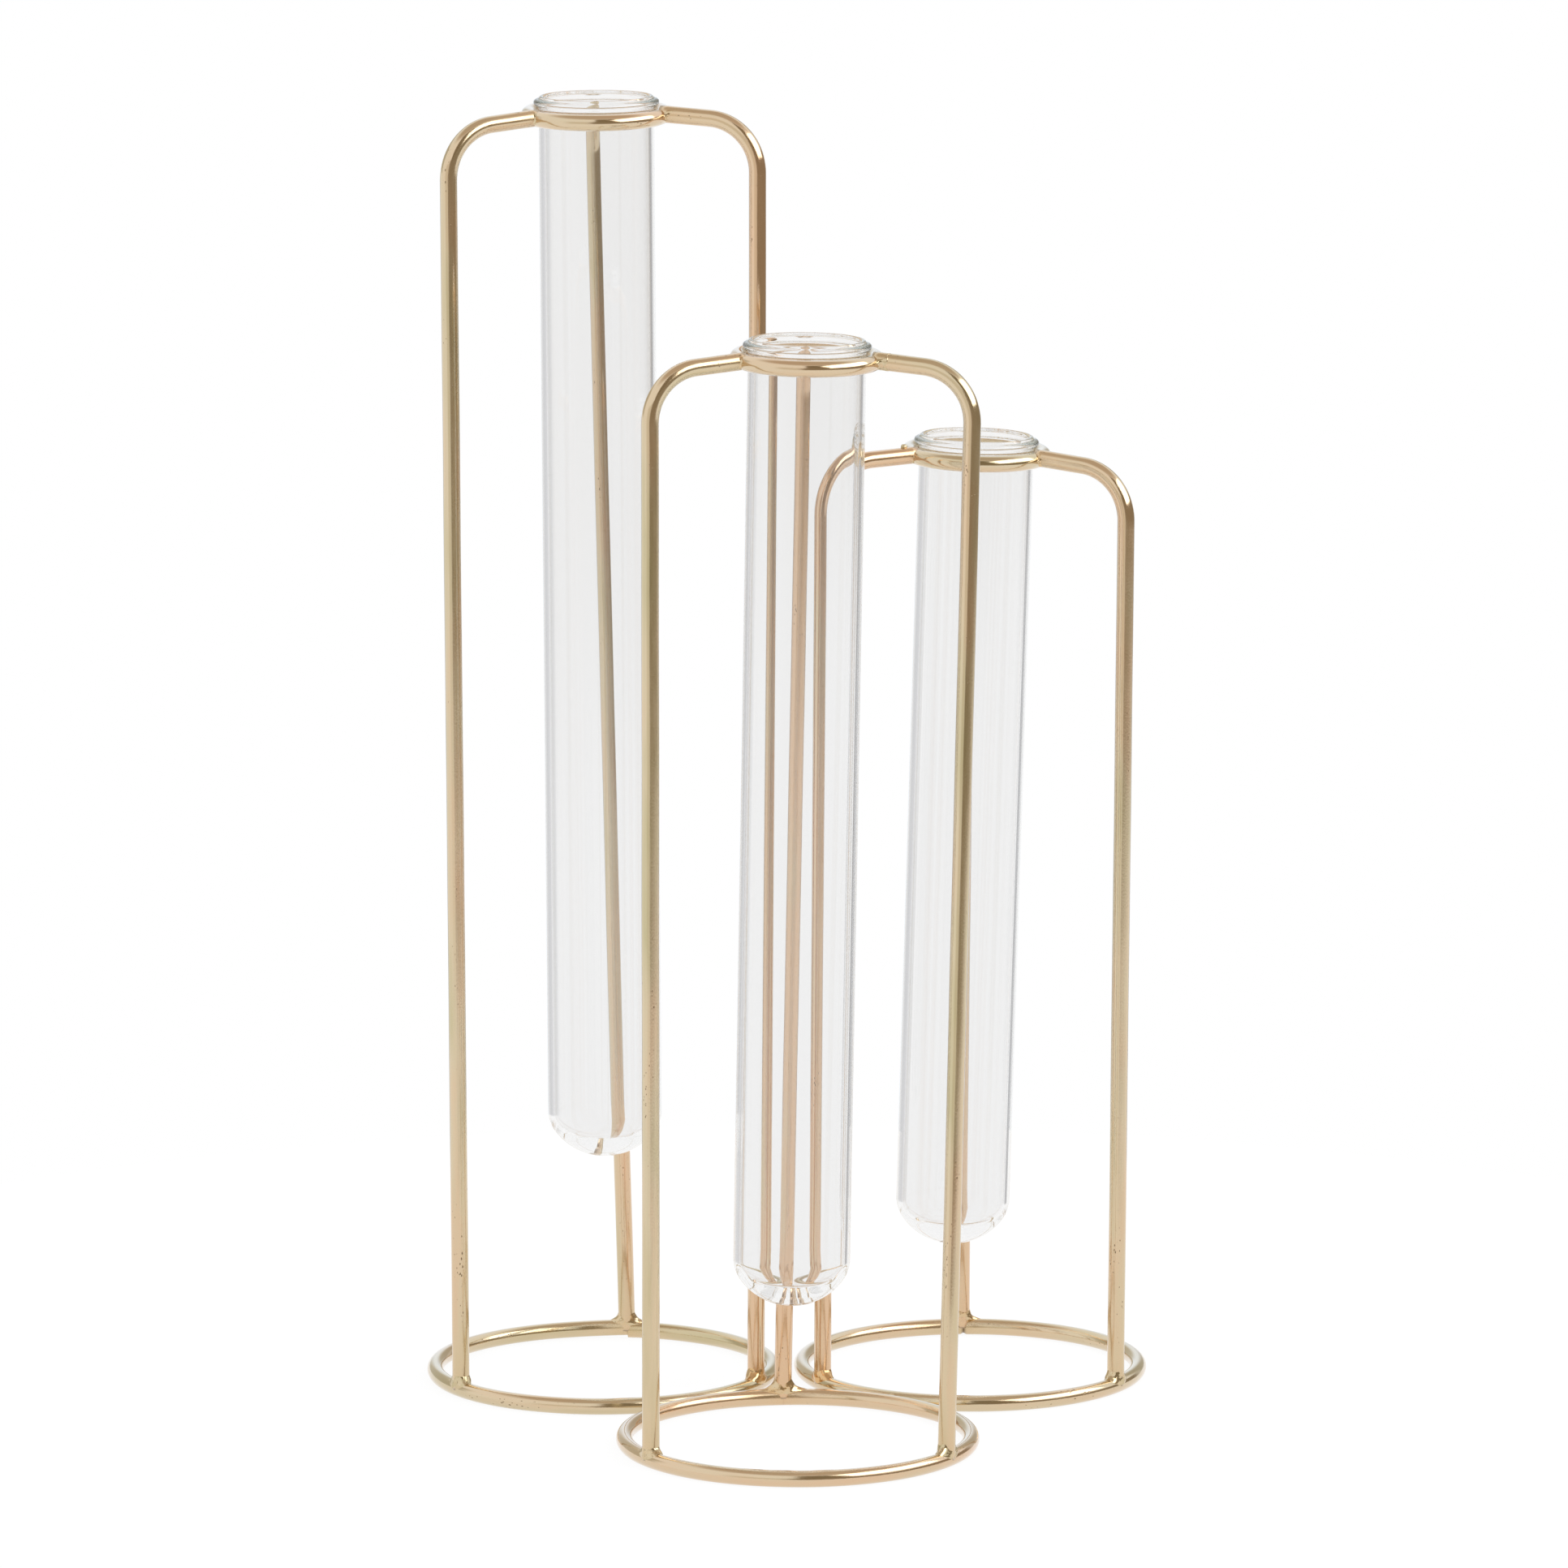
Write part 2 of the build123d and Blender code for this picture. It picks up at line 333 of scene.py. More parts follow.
def loop_line(loop, seam_turn, step=0.0, gap=0.0):
    """Points round a ring from its seam and back to it; the first end stands a step above the last."""
    around = 2 * math.pi * loop.radius - gap
    near_end = [GROOVE_STEP * i for i in range(GROOVE_ROWS)]
    start, end = near_end[-1], around - near_end[-1]
    count = math.ceil((end - start) / WIRE_STEP)
    places = near_end + [start + (end - start) * i / count for i in range(1, count)]
    places += [around - place for place in reversed(near_end)]
    points = []
    for place in places:
        turn = seam_turn + math.degrees((place + gap / 2) / loop.radius)
        points.append(loop.point(turn, rise=step * math.exp(-place / SEAM_FADE)))
    return points


def running_lengths(points):
    lengths = [0.0]
    for before, after in zip(points, points[1:]):
        lengths.append(lengths[-1] + (after - before).length)
    return lengths


def wire_piece(name, points, material, node, seed, tint, groove=0.0, swell=0.0):
    """A round wire along a line, a little uneven, that knows each point's place on it. A groove is how much
    thinner it gets at its two ends, where painted shade darkens it, and a swell how much thicker it is all
    along."""
    shift = seed * SEED_SHIFT
    lengths = running_lengths(points)
    rows, places, heats, seam_shades = [], [], [], []
    side = (points[1] - points[0]).orthogonal()
    for i, point in enumerate(points):
        tangent = (points[min(i + 1, len(points) - 1)] - points[max(i - 1, 0)]).normalized()
        side = (side - tangent * side.dot(tangent)).normalized()
        other = tangent.cross(side)
        noise_place = Vector((lengths[i] / WOBBLE_LENGTH, shift / MM, WOBBLE_LAYER))
        drift = noise.noise_vector(noise_place) * WIRE_WOBBLE
        drift.z = abs(drift.z)
        from_end = min(lengths[i], lengths[-1] - lengths[i])
        heat = math.exp(-from_end / HEAT_REACH)
        # painted shade: how much the wire's colour is darkened in the groove at a ring's seam
        dark = math.exp(-((from_end / GROOVE_WIDTH) ** 2)) if groove else 0.0
        radius = WIRE_R + swell - groove * dark
        for k in range(WIRE_SIDES):
            angle = 2 * math.pi * k / WIRE_SIDES
            x, y = radius * math.cos(angle), radius * math.sin(angle)
            rows.append(point + drift + side * x + other * y)
            places.append(((lengths[i] + shift) / MM, x / MM, y / MM))
            heats.append(heat)
            seam_shades.append(dark)
    hubs = (len(rows), len(rows) + 1)
    rows += [points[0], points[-1]]
    places += [(shift / MM, 0, 0), ((lengths[-1] + shift) / MM, 0, 0)]
    heats += [1.0, 1.0]
    seam_shades += [seam_shades[0], seam_shades[-1]]
    faces = grid_faces(len(points), WIRE_SIDES) + end_fans(len(points), WIRE_SIDES, *hubs)
    piece = new_piece(name, rows, faces, material)
    point_attribute(piece, "wire_place", "FLOAT_VECTOR", places)
    point_attribute(piece, "weld_heat", "FLOAT", heats)
    point_attribute(piece, "seam_groove_shade", "FLOAT", seam_shades)
    point_attribute(piece, "wire_tint", "FLOAT", [tint] * len(rows))
    dress(piece, "stand", "gold_wire", node)


@dataclass
class WeldForm:
    """One weld's shape in millimetres, its roll round the ring's flanks in radians, and its seed."""

    rise: float
    reach: float
    lip: float
    bulge: float
    side_roll: float
    seed: int


def weld_shell(loop, turn, seat, on_top, wire_out, form):
    """Points and faces of one weld: a lumpy fillet from a wire's skin down onto the ring below it."""
    tangent = loop.axis.cross(loop.outward(turn))
    flank = tangent.cross(wire_out).normalized()
    skin = WIRE_R - WELD_SINK
    rows = []
    for j in range(-1, WELD_ALONG):
        t = max(j, 0) / (WELD_ALONG - 1)
        for k in range(WELD_AROUND):
            phi = 2 * math.pi * k / WELD_AROUND
            along, sideways = math.cos(phi), math.sin(phi)
            around = tangent * along + flank * sideways
            wave = noise.noise(Vector((along * WELD_WAVES, sideways * WELD_WAVES, form.seed)))
            top_r = skin if j < 0 else skin + form.lip * MM
            climb = form.rise * MM * (1 + RISE_WANDER * wave)
            top = seat + wire_out * climb + around * top_r
            corner = seat + (around + wire_out * abs(along)) * WIRE_R
            travel = form.reach * MM * (1 + REACH_WANDER * wave)
            place = turn + math.degrees(travel * along / loop.radius)
            roll = form.side_roll * sideways * abs(sideways)
            out_here = loop.outward(place)
            ring_out, ring_flank = (loop.axis, out_here) if on_top else (out_here, -loop.axis)
            end = loop.point(place) + (ring_out * math.cos(roll) + ring_flank * math.sin(roll)) * skin
            spot = top * (1 - t) ** 2 + corner * 2 * t * (1 - t) + end * t**2
            away = (around + wire_out * WELD_LUMP_LEAN * abs(along)).normalized()
            lump = noise.noise(spot / WELD_LUMP_SIZE + Vector((form.seed, 0, 0)))
            rows.append(spot + away * 4 * t * (1 - t) * (form.bulge * MM + WELD_LUMPS * lump))
    hubs = (len(rows), len(rows) + 1)
    rows += [seat + wire_out * form.rise * MM, seat]
    faces = grid_faces(WELD_ALONG + 1, WELD_AROUND) + end_fans(WELD_ALONG + 1, WELD_AROUND, *hubs)
    return rows, faces


def droplet_shell(centre, seed):
    """A small round drop of weld metal, a little lumpy."""
    rows = []
    for j in range(1, WELD_ALONG):
        polar = math.pi * j / WELD_ALONG
        for k in range(WELD_AROUND):
            phi = 2 * math.pi * k / WELD_AROUND
            ring = math.sin(polar)
            way = Vector((ring * math.cos(phi), ring * math.sin(phi), -math.cos(polar)))
            lump = noise.noise(way * DROPLET_WAVES + Vector((seed, 0, 0)))
            rows.append(centre + way * DROPLET_R * (1 + DROPLET_LUMPS * lump))
    hubs = (len(rows), len(rows) + 1)
    rows += [centre - UP * DROPLET_R, centre + UP * DROPLET_R]
    faces = grid_faces(WELD_ALONG - 1, WELD_AROUND) + end_fans(WELD_ALONG - 1, WELD_AROUND, *hubs)
    return rows, faces


def joined(shells):
    points, faces = [], []
    for rows, quads in shells:
        start = len(points)
        points += rows
        faces += [tuple(i + start for i in face) for face in quads]
    return points, faces


def weld_piece(name, shells, warmths, material, node):
    piece = new_piece(name, *joined(shells), material)
    point_warmths = []
    for (rows, _), warmth in zip(shells, warmths):
        point_warmths += [warmth] * len(rows)
    point_attribute(piece, "weld_warmth", "FLOAT", point_warmths)
    dress(piece, "stand", "gold_weld", node)


def foot_welds(stand, material):
    ring, shells = RINGS[stand], []
    for index, side in enumerate(SIDES):
        line = leg_line(stand, side)
        up = (line[1] - line[0]).normalized()
        turn = FOOT_TURNS[stand][index]
        rise, reach = FOOT_WELD_RISES[stand][index], FOOT_WELD_REACHES[stand][index]
        seed = SEEDS_PER_STAND * STANDS.index(stand) + index
        roll = FOOT_WELD_ROLLS[stand][index]
        form = WeldForm(rise, reach, FOOT_WELD_LIP, FOOT_WELD_BULGE, roll, seed)
        shells.append(weld_shell(ring, turn, ring.point(turn), True, up, form))
    warmths = FOOT_WELD_WARMTHS[stand]
    weld_piece(f"{stand}_foot_weld_beads", shells, warmths, material, f"{stand}_foot_welds")


def collar_welds(stand, material):
    collar = COLLARS[stand]
    shells, warmths = [], list(COLLAR_WELD_WARMTHS[stand])
    for index, side in enumerate(SIDES):
        line = leg_line(stand, side)
        out = (line[-2] - line[-1]).normalized()
        seat = arm_seat(stand, index)
        rise, lip = COLLAR_WELD_RISES[stand][index], COLLAR_WELD_LIPS[stand][index]
        seed = FIRST_COLLAR_WELD_SEED + SEEDS_PER_STAND * STANDS.index(stand) + index
        form = WeldForm(rise, COLLAR_WELD_REACH, lip, COLLAR_WELD_BULGE, COLLAR_WELD_ROLL, seed)
        shells.append(weld_shell(collar, ARM_TURNS[stand][index], seat, False, out, form))
        if (stand, side) == ("short", "left"):
            centre = seat + out * DROPLET_PLACE + collar.axis * (WIRE_R + DROPLET_LIFT)
            shells.append(droplet_shell(centre, seed))
            warmths.insert(index + 1, DROPLET_WARMTH)
    weld_piece(f"{stand}_collar_weld_beads", shells, warmths, material, f"{stand}_collar_welds")


def ring_braze(back, material):
    """Braze that has run into the groove between two rings: hollow on top, lower where the rings part."""
    front_ring, back_ring = RINGS["middle"], RINGS[back]
    apart = back_ring.centre - front_ring.centre
    across = apart.normalized()
    along = across.cross(UP)
    middle = (front_ring.centre + back_ring.centre) / 2
    rows = []
    for i in range(BRAZE_ROWS + 1):
        place = BRAZE_HALF * (2 * i / BRAZE_ROWS - 1)
        offset = apart.length / 2 - math.sqrt(front_ring.radius**2 - place**2)
        hollow = max(BRAZE_HOLLOW, BRAZE_SPREAD * (offset - WIRE_R) + WELD_SINK)
        height = math.sqrt((WIRE_R + hollow) ** 2 - offset**2)
        lift = sum(math.exp(-(((place - lump) / BRAZE_LUMP_LENGTH) ** 2)) for lump in BRAZE_LUMPS[back])
        start = math.atan2(height, offset)
        section = [(-offset, 0.0)]
        for k in range(BRAZE_ARC + 1):
            angle = math.pi + start + (math.pi - 2 * start) * k / BRAZE_ARC
            bulge = lift * BRAZE_LUMP_HEIGHT * math.sin(math.pi * k / BRAZE_ARC)
            section.append((hollow * math.cos(angle), height + hollow * math.sin(angle) + bulge))
        section.append((offset, 0.0))
        rows += [middle + along * place + across * x + UP * z for x, z in section]
    columns = BRAZE_ARC + 3
    hubs = (len(rows), len(rows) + 1)
    rows += [middle - along * BRAZE_HALF, middle + along * BRAZE_HALF]
    faces = grid_faces(BRAZE_ROWS + 1, columns) + end_fans(BRAZE_ROWS + 1, columns, *hubs)
    warmths = (BRAZE_WARMTH,)
    weld_piece(f"{back}_ring_braze_bead", [(rows, faces)], warmths, material, f"{back}_ring_braze")


def dome_profile(radius, height, top):
    """(radius, height) points from the axis out to a wall: a shallow crown, then a rounded edge."""
    edge_r = height - CROWN_SAG
    edge_x = radius - edge_r
    crown_rise = (edge_x**2 - CROWN_SAG**2) / (2 * CROWN_SAG)
    meet = math.atan2(edge_x, crown_rise)
    points = []
    for i in range(1, DOME_STEPS + 1):
        angle = meet * i / DOME_STEPS
        reach = height + crown_rise
        points.append((reach * math.sin(angle), top + crown_rise - reach * math.cos(angle)))
    for i in range(1, DOME_STEPS + 1):
        angle = meet + (math.pi / 2 - meet) * i / DOME_STEPS
        points.append((edge_x + edge_r * math.sin(angle), top - edge_r * math.cos(angle)))
    return points


def softened(points):
    """A line's points with its corners eased; its ends stay."""
    for _ in range(LIP_PASSES):
        triples = list(zip(points, points[1:], points[2:]))
        eased = [((a[0] + 2 * b[0] + c[0]) / 4, (a[1] + 2 * b[1] + c[1]) / 4) for a, b, c in triples]
        points = [points[0], *eased, points[-1]]
    return points


def lip_profile(bore_r, top):
    """(radius, height) points over the lip: up the wall, round the bead, over the rim and down the bore."""
    outer_r, half_wall = bore_r + TUBE_WALL, TUBE_WALL / 2
    line_r = outer_r - BEAD_SINK + BEAD_R
    spread = math.acos((outer_r - line_r) / BEAD_R)
    rim_edge = top - half_wall
    middle = rim_edge - RIM_NECK - BEAD_R * math.sin(spread)
    foot = middle - BEAD_R * math.sin(spread)
    points = [(outer_r, foot - LIP_STEP * i) for i in range(LIP_END_STEPS, 0, -1)]
    for i in range(BEAD_STEPS + 1):
        angle = spread * (2 * i / BEAD_STEPS - 1)
        points.append((line_r + BEAD_R * math.cos(angle), middle + BEAD_R * math.sin(angle)))
    for i in range(BEAD_STEPS + 1):
        angle = math.pi * i / BEAD_STEPS
        points.append((bore_r + half_wall * (1 + math.cos(angle)), rim_edge + half_wall * math.sin(angle)))
    points += [(bore_r, rim_edge - LIP_STEP * i) for i in range(1, LIP_END_STEPS + 1)]
    return softened(points)


def tube_piece(stand, material):
    """A glass tube turned about its axis: outside, rolled lip and bore as one closed skin."""
    tube, bore_r = TUBES[stand], bore_radius(stand)
    outer_r = bore_r + TUBE_WALL
    corners = [v.co for v in frame["nodes"][f"{stand}_tube"].data.vertices]
    heights = [(corner - tube.centre).dot(tube.axis) for corner in corners]
    bottom, top = min(heights), max(heights)
    dome_top = bottom + DOME_HEIGHT
    lip = lip_profile(bore_r, top)
    wall_top, bore_top = lip[0][1], lip[-1][1]
    wall_shares = [i / WALL_STEPS for i in range(1, WALL_STEPS + 1)]
    profile = dome_profile(outer_r, DOME_HEIGHT, dome_top)
    profile += [(outer_r, dome_top + (wall_top - dome_top) * share) for share in wall_shares]
    profile += lip[1:]
    profile += [(bore_r, bore_top + (dome_top - bore_top) * share) for share in wall_shares]
    inner = dome_profile(bore_r, DOME_HEIGHT - BOTTOM_WALL, dome_top)
    profile += list(reversed(inner))[1:]
    rows = []
    for radius, height in profile:
        rows += [tube.point(360 * k / TUBE_SIDES, radius, height) for k in range(TUBE_SIDES)]
    hubs = (len(rows), len(rows) + 1)
    rows += [tube.point(0, 0, bottom), tube.point(0, 0, bottom + BOTTOM_WALL)]
    faces = grid_faces(len(profile), TUBE_SIDES) + end_fans(len(profile), TUBE_SIDES, *hubs)
    piece = new_piece(f"{stand}_glass_tube", rows, faces, material)
    dress(piece, f"{stand}_tube", "clear_glass", f"{stand}_tube")


# Materials


def new_material(name):
    material = bpy.data.materials.new(name)
    material.use_nodes = True
    tree = material.node_tree
    shader = tree.nodes["Principled BSDF"]
    return material, tree, shader


def plug(tree, socket, value):
    """Feeds an input from another node's socket, or sets it to a plain value."""
    if isinstance(value, bpy.types.NodeSocket):
        tree.links.new(value, socket)
    else:
        socket.default_value = value


def add_node(tree, kind, links=None, **settings):
    """A node with its settings; links maps an input to a socket or to a plain value."""
    node = tree.nodes.new(kind)
    for name, value in settings.items():
        setattr(node, name, value)
    for name, value in (links or {}).items():
        plug(tree, node.inputs[name], value)
    return node


def from_mesh(tree, name, output="Fac"):
    """A value that the mesh carries at its points."""
    return add_node(tree, "ShaderNodeAttribute", attribute_name=name).outputs[output]


def color_ramp(tree, factor, stops):
    ramp = add_node(tree, "ShaderNodeValToRGB", {"Fac": factor})
    elements = ramp.color_ramp.elements
    while len(elements) < len(stops):
        elements.new(0.5)
    for element, (place, color) in zip(elements, stops):
        element.position = place
        element.color = color
    return ramp.outputs["Color"]


# Sockets of a colour mix go by number, because several of them share a name
MIX_FACTOR, MIX_FIRST, MIX_SECOND = 0, 6, 7
MIX_RESULT = 2


def mix_color(tree, factor, first, second):
    links = {MIX_FACTOR: factor, MIX_FIRST: first, MIX_SECOND: second}
    return add_node(tree, "ShaderNodeMix", links, data_type="RGBA").outputs[MIX_RESULT]


def math_node(tree, operation, first, second=0.0):
    node = add_node(tree, "ShaderNodeMath", {0: first, 1: second}, operation=operation)
    return node.outputs[0]


def plus(tree, first, second):
    return math_node(tree, "ADD", first, second)


def times(tree, first, second):
    return math_node(tree, "MULTIPLY", first, second)


def halfway(tree, first, second):
    return times(tree, plus(tree, first, second), 0.5)


def noise_at(tree, place, scale=1.0, detail=3.0, roughness=0.5):
    links = {"Vector": place, "Scale": scale, "Detail": detail, "Roughness": roughness}
    return add_node(tree, "ShaderNodeTexNoise", links).outputs["Fac"]


def stretched(tree, place, stretch):
    links = {"Vector": place, "Scale": stretch}
    return add_node(tree, "ShaderNodeMapping", links).outputs["Vector"]


# Colours of the plate
CHAMPAGNE = srgb(214, 196, 163)
PEACH_GOLD = srgb(223, 190, 156)
OLIVE_GOLD = srgb(196, 184, 143)
WARM_GOLD = srgb(222, 182, 130)
# brown of real pits and weld specks, and also of the painted shade in a ring seam's groove
PIT_AND_SHADE_BROWN = srgb(112, 88, 52)

# Plate on the wires. A stretch scales a pattern along the wire and to both sides across it, per mm.
TINT_STRETCH = (0.03, 0.25, 0.25)
STREAK_STRETCH = (0.12, 5.0, 5.0)
GRAIN_STRETCH = (2.2, 4.0, 4.0)
PIT_STRETCH = (0.8, 1.6, 1.6)
CLUSTER_STRETCH = (0.06, 0.4, 0.4)
WIRE_STOPS = [(0.35, OLIVE_GOLD), (0.5, CHAMPAGNE), (0.66, PEACH_GOLD)]
HEAT_WARMTH = 0.35
CLUSTER_LEVEL = 0.5      # pits show where the noise of their clusters is above this
PIT_SIZE = 1.1
PIT_SHARPNESS = 12.0
PIT_DARKNESS = 0.8
# painted shade: share of brown laid over the wire's colour in the groove at a ring's seam
SEAM_SHADE_DARKNESS = 0.85
WIRE_ROUGHNESS = 0.04    # to which streaks, pits and the heat of welds add
STREAK_ROUGHNESS = 0.16
PIT_ROUGHNESS = 0.25
HEAT_ROUGHNESS = 0.2
LACQUER_ROUGHNESS = 0.06
GRAIN_HEIGHT = 0.5       # as a share of a streak's height
PIT_DEPTH = 1.5          # as a share of a streak's height
WIRE_BUMP = 0.5
WIRE_BUMP_HEIGHT = 0.02 * MM

# Plate on the welds, with patterns per metre
BLOTCH_SCALE = 420.0
SPECK_SCALE = 1500.0
PEBBLE_SCALE = 900.0
WELD_STOPS = [(0.3, OLIVE_GOLD), (0.45, CHAMPAGNE), (0.7, WARM_GOLD)]
SPECK_START = 0.6        # noise above which a speck starts to show
SPECK_FULL = 0.72
SPECK_DARKNESS = 0.5
WELD_ROUGHNESS = 0.03    # to which the blotches add
BLOTCH_ROUGHNESS = 0.16
WELD_BUMP = 0.6
WELD_BUMP_HEIGHT = 0.15 * MM

# Glass: its surface, and the cast that deepens with the way through it
GLASS_IOR = 1.47
GLASS_TINT = srgb(247, 247, 247)
GLASS_CAST = srgb(228, 232, 231)
GLASS_DENSITY = 4.0


def metal_finish(tree, shader, color, rough, height, bump, bump_height):
    """Makes a shader metal, with the given colour, roughness and relief."""
    shader.inputs["Metallic"].default_value = 1.0
    plug(tree, shader.inputs["Base Color"], color)
    plug(tree, shader.inputs["Roughness"], rough)
    links = {"Height": height, "Strength": bump, "Distance": bump_height}
    relief = add_node(tree, "ShaderNodeBump", links)
    plug(tree, shader.inputs["Normal"], relief.outputs["Normal"])


def wire_pits(tree, place):
    """1 in small pits that gather in clusters along a wire, and 0 elsewhere."""
    links = {"Vector": stretched(tree, place, PIT_STRETCH), "Scale": 1.0}
    cells = add_node(tree, "ShaderNodeTexVoronoi", links)
    clusters = noise_at(tree, stretched(tree, place, CLUSTER_STRETCH), detail=2.0)
    size = times(tree, math_node(tree, "SUBTRACT", clusters, CLUSTER_LEVEL), PIT_SIZE)
    pit = math_node(tree, "SUBTRACT", size, cells.outputs["Distance"])
    pit = times(tree, pit, PIT_SHARPNESS)
    return add_node(tree, "ShaderNodeClamp", {"Value": pit}).outputs[0]


def wire_gold():
    """Pale gold plate on drawn wire: a drifting tint, fine streaks along it and small dark pits, warmer
    and duller by the welds, with painted shade darkening the groove at a ring's seam."""
    material, tree, shader = new_material("gold_wire")
    place = from_mesh(tree, "wire_place", "Vector")
    heat = from_mesh(tree, "weld_heat")
    drift = noise_at(tree, stretched(tree, place, TINT_STRETCH))
    streaks = noise_at(tree, stretched(tree, place, STREAK_STRETCH), detail=4.0, roughness=0.6)
    grain = noise_at(tree, stretched(tree, place, GRAIN_STRETCH), detail=2.0)
    pits = wire_pits(tree, place)
    color = color_ramp(tree, halfway(tree, drift, from_mesh(tree, "wire_tint")), WIRE_STOPS)
    color = mix_color(tree, times(tree, heat, HEAT_WARMTH), color, WARM_GOLD)
    color = mix_color(tree, times(tree, pits, PIT_DARKNESS), color, PIT_AND_SHADE_BROWN)
    # painted shade: the groove at a ring's seam is darkened in the colour
    seam = from_mesh(tree, "seam_groove_shade")
    color = mix_color(tree, times(tree, seam, SEAM_SHADE_DARKNESS), color, PIT_AND_SHADE_BROWN)
    rough = plus(tree, times(tree, streaks, STREAK_ROUGHNESS), WIRE_ROUGHNESS)
    rough = plus(tree, rough, times(tree, pits, PIT_ROUGHNESS))
    rough = plus(tree, rough, times(tree, heat, HEAT_ROUGHNESS))
    height = plus(tree, streaks, times(tree, grain, GRAIN_HEIGHT))
    height = math_node(tree, "SUBTRACT", height, times(tree, pits, PIT_DEPTH))
    metal_finish(tree, shader, color, rough, height, WIRE_BUMP, WIRE_BUMP_HEIGHT)
    shader.inputs["Coat Weight"].default_value = 1.0
    shader.inputs["Coat Roughness"].default_value = LACQUER_ROUGHNESS
    return material


def weld_gold():
    """Plated weld metal: blotchy, a little warmer than the wire, pitted and bright on its lumps."""
    material, tree, shader = new_material("gold_weld")
    place = add_node(tree, "ShaderNodeTexCoord").outputs["Object"]
    blotches = noise_at(tree, place, BLOTCH_SCALE, detail=4.0, roughness=0.6)
    color = color_ramp(tree, halfway(tree, blotches, from_mesh(tree, "weld_warmth")), WELD_STOPS)
    specks = noise_at(tree, place, SPECK_SCALE, detail=2.0)
    limits = {"Value": specks, "From Min": SPECK_START, "From Max": SPECK_FULL}
    dark = add_node(tree, "ShaderNodeMapRange", limits).outputs[0]
    color = mix_color(tree, times(tree, dark, SPECK_DARKNESS), color, PIT_AND_SHADE_BROWN)
    rough = plus(tree, times(tree, blotches, BLOTCH_ROUGHNESS), WELD_ROUGHNESS)
    height = noise_at(tree, place, PEBBLE_SCALE)
    metal_finish(tree, shader, color, rough, height, WELD_BUMP, WELD_BUMP_HEIGHT)
    return material


def clear_glass():
    """Clear soda glass with a faint grey cast, deepest where the eye looks along the wall."""
    material, tree, shader = new_material("clear_glass")
    shader.inputs["Base Color"].default_value = GLASS_TINT
    shader.inputs["Roughness"].default_value = 0.0
    shader.inputs["IOR"].default_value = GLASS_IOR
    shader.inputs["Transmission Weight"].default_value = 1.0
    links = {"Color": GLASS_CAST, "Density": GLASS_DENSITY}
    absorption = add_node(tree, "ShaderNodeVolumeAbsorption", links)
    plug(tree, tree.nodes["Material Output"].inputs["Volume"], absorption.outputs[0])
    return material


# Studio


def add_camera():
    data = bpy.data.cameras.new("camera")
    data.lens = CAMERA_LENS
    data.sensor_width = CAMERA_SENSOR
    data.clip_start = CAMERA_NEAR
    data.clip_end = CAMERA_FAR
    camera = bpy.data.objects.new("camera", data)
    camera.location = CAMERA_PLACE
    camera.rotation_euler = (math.radians(90 - CAMERA_DOWN), 0, math.radians(-CAMERA_RIGHT))
    bpy.context.scene.collection.objects.link(camera)
    bpy.context.scene.camera = camera


def band(tree, value, low, high, soft):
    """1 where a value lies between two limits, with soft edges, and 0 elsewhere."""
    rise = {"Value": value, "From Min": low - soft, "From Max": low + soft}
    fall = {"Value": value, "From Min": high - soft, "From Max": high + soft, "To Min": 1.0, "To Max": 0.0}
    entry = add_node(tree, "ShaderNodeMapRange", rise, interpolation_type="SMOOTHSTEP")
    leave = add_node(tree, "ShaderNodeMapRange", fall, interpolation_type="SMOOTHSTEP")
    return times(tree, entry.outputs[0], leave.outputs[0])


def patched(tree, color, turn, rise, patch):
    """A studio wall's colour with one patch laid over it."""
    turns, rises, patch_color = patch
    share = times(tree, band(tree, turn, *turns), band(tree, rise, *rises))
    return mix_color(tree, share, color, patch_color)


def add_world():
    """White to the eye and to plain light. Glass also sees two grey flags beside the backdrop and, low in
    front, a dim room. Metal sees the flags, the whole dim room, the walls behind and the dim ceiling."""
    world = bpy.data.worlds.new("studio")
    bpy.context.scene.world = world
    world.use_nodes = True
    tree = world.node_tree
    way = add_node(tree, "ShaderNodeTexCoord").outputs["Generated"]
    parts = add_node(tree, "ShaderNodeSeparateXYZ", {"Vector": way}).outputs
    rise = parts["Z"]
    towards_camera = times(tree, parts["Y"], -1.0)
    turn = math_node(tree, "ARCTAN2", parts["X"], towards_camera)
    turn = times(tree, turn, math.degrees(1))
    to_either_side = math_node(tree, "ABSOLUTE", turn)
    backdrop = WHITE
    for patch in (RIGHT_FLAG, LEFT_FLAG):
        backdrop = patched(tree, backdrop, turn, rise, patch)
    for_glass = patched(tree, backdrop, turn, rise, ROOM_IN_GLASS)
    for_metal = patched(tree, backdrop, to_either_side, rise, BEHIND)
    for patch in (DIM_LEFT, DIM_ROOM, BACK_LEFT, BACK_RIGHT, CEILING, DARK_FRONT):
        for_metal = patched(tree, for_metal, turn, rise, patch)
    ray = add_node(tree, "ShaderNodeLightPath").outputs
    color = mix_color(tree, ray["Is Glossy Ray"], WHITE, for_metal)
    color = mix_color(tree, ray["Is Transmission Ray"], color, for_glass)
    plug(tree, tree.nodes["Background"].inputs["Color"], color)


